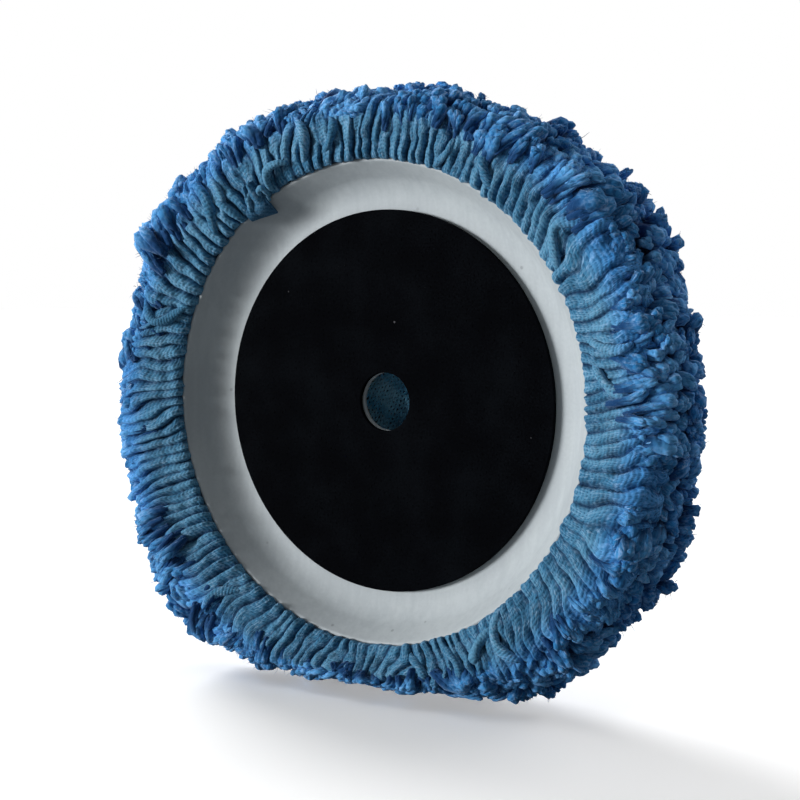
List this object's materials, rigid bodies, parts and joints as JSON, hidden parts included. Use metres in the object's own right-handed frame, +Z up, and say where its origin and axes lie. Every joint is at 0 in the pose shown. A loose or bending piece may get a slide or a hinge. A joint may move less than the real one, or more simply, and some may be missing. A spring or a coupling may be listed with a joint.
{
  "type": "polishing pad",
  "caption": "Round wool polishing pad with a recessed moulded back, a hook-and-loop face and a centring hole, for a rotary car polisher.",
  "frame": {"origin": "centre of the loop face, where the axis of the polisher's backing plate meets it", "axes": "+Y along the pad's axis, out of the back towards the polisher; -Y out of the wool face; +Z up, as the pad stands on its edge"},
  "size_m": [0.227, 0.0495, 0.227],
  "materials": {
    "loop_black": "matt brushed loops",
    "hot_melt": "dull film",
    "foam_grey": "smooth moulded foam skin, dull",
    "cushion_foam": "open-cell foam",
    "knit_blue": "ribbed knit",
    "wool_blue": "twisted wool tufts",
    "cord_blue": "laid cord"
  },
  "bodies": {
    "root": {"loop_disc": "loop_black", "loop_adhesive_film": "hot_melt", "backing_dish": "foam_grey", "dish_adhesive_film": "hot_melt", "foam_cushion": "cushion_foam", "cushion_adhesive_film": "hot_melt", "knitted_backing": "knit_blue", "wool_face": "wool_blue", "wool_skirt": "wool_blue", "gather_cord": "cord_blue", "hem_tuck": "wool_blue"}
  },
  "joints": []
}
